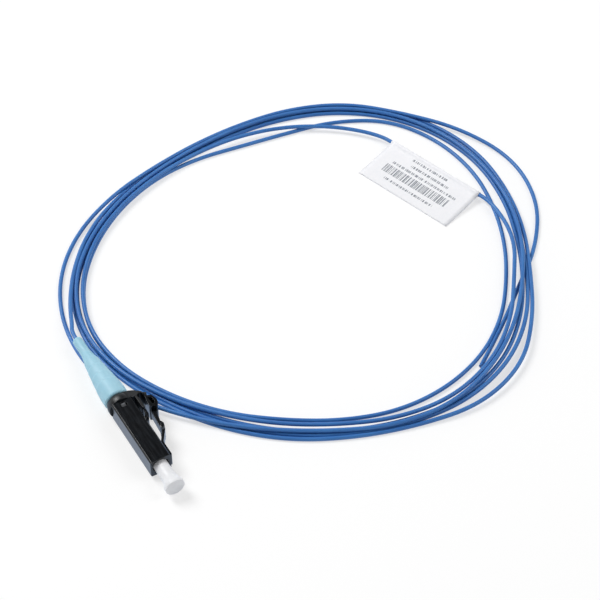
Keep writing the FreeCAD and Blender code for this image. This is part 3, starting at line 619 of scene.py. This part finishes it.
def make_label():
    "Paper flag folded round the cord, its two leaves lying face to face, with a map for its print."
    upper, drop = label_profile()
    start, end = label_run()
    lower = []
    for x, y in upper[1:]:
        share = min(max((x - MEET) / (LABEL_W - CORD_D / 2 - MEET), 0), 1)
        lower.append((x, 2 * drooped(drop, share) - y))
    line = upper[::-1] + lower
    along = (end - start).normalized()
    inward = Vector((along.y, -along.x, 0))
    middle = (start + end) / 2
    reach = [0]
    for before, place in zip(line, line[1:]):
        reach.append(reach[-1] + (Vector(place) - Vector(before)).length)
    leaf = reach[len(upper) - 1]
    grid = bmesh.new()
    uv = grid.loops.layers.uv.new("UVMap")
    rows = []
    for k in range(LABEL_STEPS + 1):
        place = middle + along * (LABEL_L * MM * (k / LABEL_STEPS - 0.5))
        rows.append([grid.verts.new(place + inward * (x * MM) + Vector((0, 0, y * MM))) for x, y in line])
    for k in range(LABEL_STEPS):
        for j in range(len(line) - 1):
            face = grid.faces.new((rows[k][j], rows[k][j + 1], rows[k + 1][j + 1], rows[k + 1][j]))
            for loop, (column, place) in zip(face.loops, ((k, j), (k, j + 1), (k + 1, j + 1), (k + 1, j))):
                # 1 at the upper leaf's free edge, 0 at the fold, and below 0 on the lower leaf
                loop[uv].uv = (column / LABEL_STEPS, 1 - reach[place] / leaf)
    piece = finished("paper_flag", grid, printed_paper())
    shell = piece.modifiers.new("thickness", "SOLIDIFY")
    shell.thickness = PAPER * MM * PAPER_BUILT
    shell.offset = 0
    return piece


def finished(name, grid, material):
    "An object made of a bmesh, smooth shaded, with one material."
    mesh = bpy.data.meshes.new(name)
    grid.to_mesh(mesh)
    grid.free()
    for face in mesh.polygons:
        face.use_smooth = True
    mesh.materials.append(material)
    piece = bpy.data.objects.new(name, mesh)
    scene.collection.objects.link(piece)
    return piece


def even_shading(piece):
    "Keeps the flat faces flat between rounded edges."
    shading = piece.modifiers.new("shading", "WEIGHTED_NORMAL")
    shading.keep_sharp = True


def moulded(node, name, material):
    "A copy of a node's surface with its points merged and its sharp edges rounded."
    grid = bmesh.new()
    grid.from_mesh(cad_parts[node].data)
    bmesh.ops.remove_doubles(grid, verts=grid.verts, dist=MERGED * MM)
    bmesh.ops.dissolve_limit(grid, angle_limit=radians(FLAT), verts=grid.verts, edges=grid.edges)
    piece = finished(name, grid, material)
    bevel = piece.modifiers.new("edges", "BEVEL")
    bevel.width = EDGE * MM
    bevel.segments = 2
    bevel.limit_method = "ANGLE"
    bevel.angle_limit = radians(EDGE_FROM)
    bevel.use_clamp_overlap = False
    even_shading(piece)
    return piece


def rounded(corners, size, steps=4):
    "A closed profile with each corner off the axis softened by a small curve."
    line = []
    for before, corner, after in zip(corners[-1:] + corners[:-1], corners, corners[1:] + corners[:1]):
        corner = Vector(corner)
        if corner.y == 0:
            line.append(corner)
            continue
        back = Vector(before) - corner
        on = Vector(after) - corner
        start = corner + back.normalized() * min(size, back.length * CORNER_MOST)
        end = corner + on.normalized() * min(size, on.length * CORNER_MOST)
        for k in range(steps + 1):
            t = k / steps
            line.append(start * (1 - t) ** 2 + corner * 2 * t * (1 - t) + end * t * t)
    return line


def turned(name, profile, material, sides=96):
    "A piece turned about the plug's axis, from a closed profile of places and radii."
    grid = bmesh.new()
    rings = []
    for x, radius in profile:
        count = sides if radius else 1
        ring = [grid.verts.new((FRONT + x * MM, BOOT_TIP.y + radius * MM * cos(2 * pi * k / count),
                                BOOT_TIP.z + radius * MM * sin(2 * pi * k / count))) for k in range(count)]
        rings.append(ring * (sides // count))
    for here, there in zip(rings, rings[1:] + rings[:1]):
        for k in range(sides):
            corners = list(dict.fromkeys((here[k], here[k - 1], there[k - 1], there[k])))
            if len(corners) > 2:
                grid.faces.new(corners)
    bmesh.ops.recalc_face_normals(grid, faces=grid.faces)
    piece = finished(name, grid, material)
    even_shading(piece)
    return piece


def boot_profile():
    "Half section of the boot: rim, shallow steps down the taper, sleeve and bore."
    base = -BODY_L - CLIP_L
    tip = base - BOOT_L
    base_r = BOOT_BASE_D / 2
    tip_r = BOOT_TIP_D / 2
    bore_r = CORD_D / 2 + CORD_GAP
    taper_from = base - BOOT_RIM_L
    taper_to = tip + BOOT_SLEEVE_L
    corners = [(base, BOOT_BORE_D / 2), (base, base_r - BOOT_EDGE[1]), (base - BOOT_EDGE[0], base_r),
               (taper_from, base_r)]
    for k in range(1, BOOT_STEPS + 1):
        left = 1 - k / (BOOT_STEPS + 1)
        x = taper_to + (taper_from - taper_to) * left
        r = tip_r + (base_r - tip_r) * left ** BOOT_TAPER
        corners += [(x + BOOT_STEP_L, r + BOOT_STEP_H), (x, r)]
    corners += [(taper_to, tip_r), (tip + BOOT_END[0], tip_r), (tip, tip_r - BOOT_END[1]), (tip, bore_r),
                (base - BOOT_BORE_L, bore_r), (base - BOOT_BORE_L, BOOT_BORE_D / 2)]
    return rounded(corners, BOOT_SOFT)


def cap_profile():
    "Half section of the dust cap: blind tube, flare and flat-ended rim."
    tube_r = CAP_D / 2
    rim_r = CAP_RIM_D / 2
    bore_r = CAP_BORE_D / 2
    flare_to = CAP_OUT - CAP_RIM_L
    flare_from = flare_to - CAP_FLARE_L
    outside = [(-CAP_IN, bore_r), (-CAP_IN, tube_r - CAP_LEAD[1]), (-CAP_IN + CAP_LEAD[0], tube_r),
               (flare_from, tube_r)]
    for k in range(1, CAP_CURVE_STEPS):
        share = k / CAP_CURVE_STEPS
        outside.append((flare_from + CAP_FLARE_L * share, tube_r + (rim_r - tube_r) * share ** CAP_CURVE))
    return rounded(outside + [(flare_to, rim_r), (CAP_OUT, rim_r), (CAP_OUT, 0), (CAP_BORE_END, 0),
                              (CAP_BORE_END - CAP_BORE_CONE, bore_r)], CAP_SOFT)


def bent_web(name, root, web, width, material):
    "The thin web of a living hinge, from its places, heights and half thicknesses about its root."
    grid = bmesh.new()
    rings = []
    line = [(root[0] + along, root[1] + up, half) for along, up, half in web]
    for before, (x, height, half), after in zip(line[:1] + line[:-1], line, line[1:] + line[-1:]):
        way = Vector((after[0] - before[0], after[1] - before[1])).normalized()
        across = Vector((-way.y, way.x)) * half
        ring = []
        for side, flat in ((1, 1), (-1, 1), (-1, -1), (1, -1)):
            plan = Vector((x, height + BODY_W / 2)) + across * side
            ring.append(grid.verts.new((FRONT + plan.x * MM, BOOT_TIP.y + plan.y * MM,
                                        BOOT_TIP.z + flat * width / 2 * MM)))
        rings.append(ring)
    for here, there in zip(rings, rings[1:]):
        for k in range(4):
            grid.faces.new((here[k - 1], here[k], there[k], there[k - 1]))
    grid.faces.new(rings[0])
    grid.faces.new(rings[-1][::-1])
    bmesh.ops.recalc_face_normals(grid, faces=grid.faces)
    piece = finished(name, grid, material)
    even_shading(piece)
    return piece


def spring_tree(material):
    "Node tree of a coil spring along X, from its turns, radius, length and wire."
    tree = bpy.data.node_groups.new("coil_spring_tree", "GeometryNodeTree")
    face = tree.interface
    face.new_socket("Geometry", in_out="OUTPUT", socket_type="NodeSocketGeometry")
    for name in ("Turns", "Radius", "Length", "Wire"):
        face.new_socket(name, in_out="INPUT", socket_type="NodeSocketFloat")
    given = add(tree, "NodeGroupInput").outputs
    helix = add(tree, "GeometryNodeCurveSpiral", inputs={
        "Resolution": SPRING_STEPS, "Rotations": given["Turns"], "Start Radius": given["Radius"],
        "End Radius": given["Radius"], "Height": given["Length"]})
    laid = add(tree, "GeometryNodeTransform", inputs={
        "Geometry": helix.outputs[0], "Rotation": (0, pi / 2, 0),
        "Translation": (FRONT + SPRING_BACK * MM, BOOT_TIP.y, BOOT_TIP.z)})
    section = add(tree, "GeometryNodeCurvePrimitiveCircle", inputs={
        "Resolution": SPRING_SIDES, "Radius": given["Wire"]})
    wire = add(tree, "GeometryNodeCurveToMesh", inputs={
        "Curve": laid.outputs[0], "Profile Curve": section.outputs[0], "Fill Caps": True})
    smooth = add(tree, "GeometryNodeSetShadeSmooth", inputs={"Geometry": wire.outputs[0]})
    real = add(tree, "GeometryNodeRealizeInstances", inputs={"Geometry": smooth.outputs[0]})
    painted = add(tree, "GeometryNodeSetMaterial", inputs={
        "Geometry": real.outputs[0], "Material": material})
    add(tree, "NodeGroupOutput", inputs={"Geometry": painted.outputs[0]})
    return tree


def make_spring(material):
    "The compression spring behind the ferrule's flange."
    tree = spring_tree(material)
    wire = SPRING_WIRE / 2
    sizes = {"Turns": SPRING_TURNS, "Radius": (SPRING_D / 2 - wire) * MM,
             "Length": (SPRING_FRONT - SPRING_BACK - 2 * wire) * MM, "Wire": wire * MM}
    piece = bpy.data.objects.new("spring", bpy.data.meshes.new("spring_start"))
    scene.collection.objects.link(piece)
    grown = piece.modifiers.new("wound", "NODES")
    grown.node_group = tree
    for socket in tree.interface.items_tree:
        if socket.in_out == "INPUT":
            grown[socket.identifier] = float(sizes[socket.name])
    bpy.context.view_layer.update()
    mesh = bpy.data.meshes.new_from_object(piece.evaluated_get(bpy.context.evaluated_depsgraph_get()))
    piece.modifiers.remove(grown)
    piece.data = mesh
    return piece


def stands_for(piece, body, slot, *nodes):
    """Puts a piece on its body, in place of nodes of the frame; its finish slot is not used."""
    if body:
        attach(piece, body)
    if nodes:
        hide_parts(*nodes)


make_camera()
make_light()
make_stage()

blue = jacket_blue()
cord = make_cord(blue)
label = make_label()
stands_for(cord, "plug", "cord_blue", "cord_coil")
stands_for(label, "plug", "label_paper", "flag_label")

black = glass_filled_black("polished_black_polyester", 0.14, 0.27)
satin = glass_filled_black("satin_black_polyester", 0.34, 0.46)
stands_for(moulded("plug_housing", "plug_body", black), "plug", "body_black", "plug_housing")
stands_for(moulded("rear_clip", "clip", satin), "plug", "clip_black", "rear_clip")
stands_for(moulded("latch_lever", "lever", black), "latch", "lever_black", "latch_lever")
stands_for(moulded("trigger_arm", "trigger", black), "trigger", "lever_black", "trigger_arm")
stands_for(turned("boot_sleeve", boot_profile(), soft_aqua()), "plug", "boot_aqua", "boot")
stands_for(turned("cap", cap_profile(), milky_cap()), "cap", "cap_white", "dust_cap")

lever_web = bent_web("lever_web", LEVER_ROOT, LEVER_WEB, LEVER_W, black)
stands_for(lever_web, None, "lever_black")
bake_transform(lever_web)
trigger_web = bent_web("trigger_web", TRIGGER_ROOT, TRIGGER_WEB, BODY_W, black)
stands_for(trigger_web, None, "lever_black")
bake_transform(trigger_web)

spring = make_spring(plain("stainless_spring_wire", "#B4B6B8", "#C4C6C8", 0.25, metallic=1.0))
stands_for(spring, "plug", "spring_steel", "coil_spring")
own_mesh(spring)
fibre_l = FIBRE_FRONT + BODY_L + CLIP_L + BOOT_L
half = CORD_D / 2
fibre_back = FIBRE_FRONT - fibre_l
fibre = turned("fibre_in_plug", rounded([
    (FIBRE_FRONT, 0), (FIBRE_FRONT, half), (fibre_back, half), (fibre_back, 0)], EDGE), blue, 32)
stands_for(fibre, "plug", "cord_blue", "inner_fibre")
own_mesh(fibre)

# Inner parts, which give the eye in turn: a near white polish, a warm silver, a bright silver, a dark satin
# grey, a waxy off-white, and clear glass that looks near white at this size
LOOKS = {
    "ferrule": plain("zirconia_ceramic", "#EFEDE6", "#F6F5F0", 0.12, ior=2.1),
    "ferrule_flange": plain("nickel_plated_brass", "#C9C6BF", "#D6D3CC", 0.22, metallic=1.0),
    "crimp_ring": plain("crimped_aluminium", "#C6C8CB", "#D3D5D8", 0.3, metallic=1.0),
    "backbone": plain("grey_polyetherimide", "#5E6165", "#6C6F73", 0.35),
    "guide_tube": plain("natural_nylon", "#E6E5DD", "#EFEEE7", 0.4),
    "glass_fibre": plain("silica_glass", "#E4ECEE", "#EEF4F5", 0.08, ior=1.46),
}
for name, material in LOOKS.items():
    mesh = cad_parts[name].data
    mesh.materials.clear()
    mesh.materials.append(material)

scene.view_settings.view_transform = "Standard"
bpy.context.view_layer.update()
